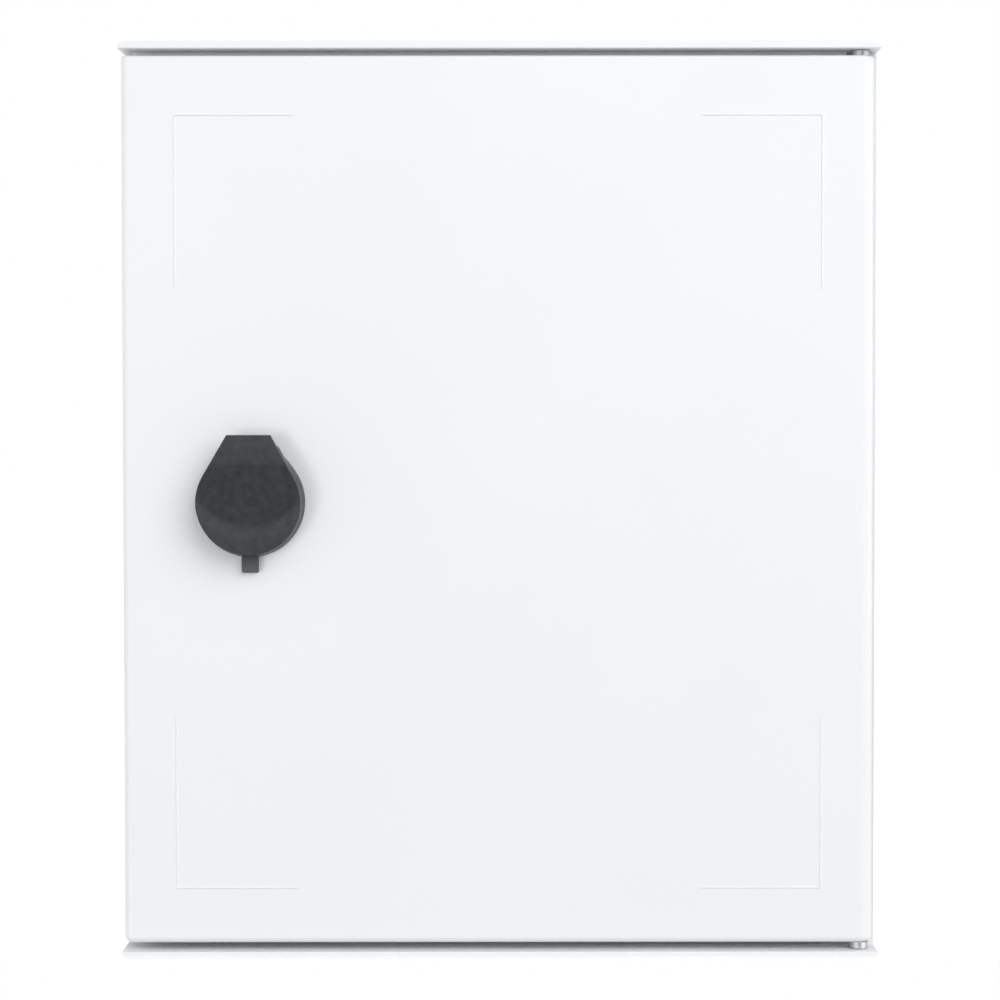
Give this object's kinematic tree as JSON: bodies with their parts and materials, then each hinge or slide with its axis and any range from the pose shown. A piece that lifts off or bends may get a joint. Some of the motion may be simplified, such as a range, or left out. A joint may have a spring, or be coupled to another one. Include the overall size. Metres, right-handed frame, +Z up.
{
  "type": "polyester enclosure",
  "caption": "Wall-mounting moulded polyester enclosure with a plain door on pivot hinges, a foamed seal, a quarter-turn latch under a flip-up dust cap, and a steel mounting plate inside.",
  "frame": {"origin": "centre of the four wall holes, on the back face that lies against the wall", "axes": "+X to the right seen from the front, +Y into the wall, +Z up; the door faces -Y"},
  "size_m": [0.255, 0.172, 0.308],
  "materials": {
    "polyester": "light grey glass-fibre polyester with a fine moulded grain",
    "dark_plastic": "dark grey satin moulded plastic",
    "grey_plastic": "mid-grey bearing plastic",
    "zinc_steel": "zinc-plated steel",
    "zinc_casting": "dull zinc die casting",
    "brass": "turned brass",
    "black_rubber": "black rubber",
    "foam": "dark grey foamed polyurethane with a fine skin"
  },
  "bodies": {
    "enclosure": {"case_shell": "polyester", "plate_inserts": "brass", "mounting_plate": "zinc_steel", "plate_washers": "zinc_steel", "plate_screws": "zinc_steel", "hinge_pins": "zinc_steel", "keeper_bracket": "zinc_steel", "keeper_rivets": "zinc_steel"},
    "door_leaf": {"door_panel": "polyester", "door_gasket": "foam", "hinge_bushes": "grey_plastic", "lock_housing": "dark_plastic", "lock_seal": "black_rubber", "lock_nut": "zinc_steel", "cap_pin": "zinc_steel"},
    "latch": {"lock_core": "zinc_casting", "core_ring": "black_rubber", "latch_cam": "zinc_steel", "cam_washer": "zinc_steel", "cam_screw": "zinc_steel"},
    "dust_cap": {"lock_cap": "dark_plastic"}
  },
  "joints": [
    {"name": "door_hinge", "type": "hinge", "parent": "enclosure", "child": "door_leaf", "pos_m": [0.1216, -0.1558, 0], "axis": [0, 0, 1], "range_deg": [0, 180]},
    {"name": "latch_turn", "type": "hinge", "parent": "door_leaf", "child": "latch", "pos_m": [-0.0837, -0.15, 0], "axis": [0, 1, 0], "range_deg": [0, 90]},
    {"name": "cap_flip", "type": "hinge", "parent": "door_leaf", "child": "dust_cap", "pos_m": [-0.0837, -0.1665, 0.0188], "axis": [-1, 0, 0], "range_deg": [0, 140]}
  ]
}
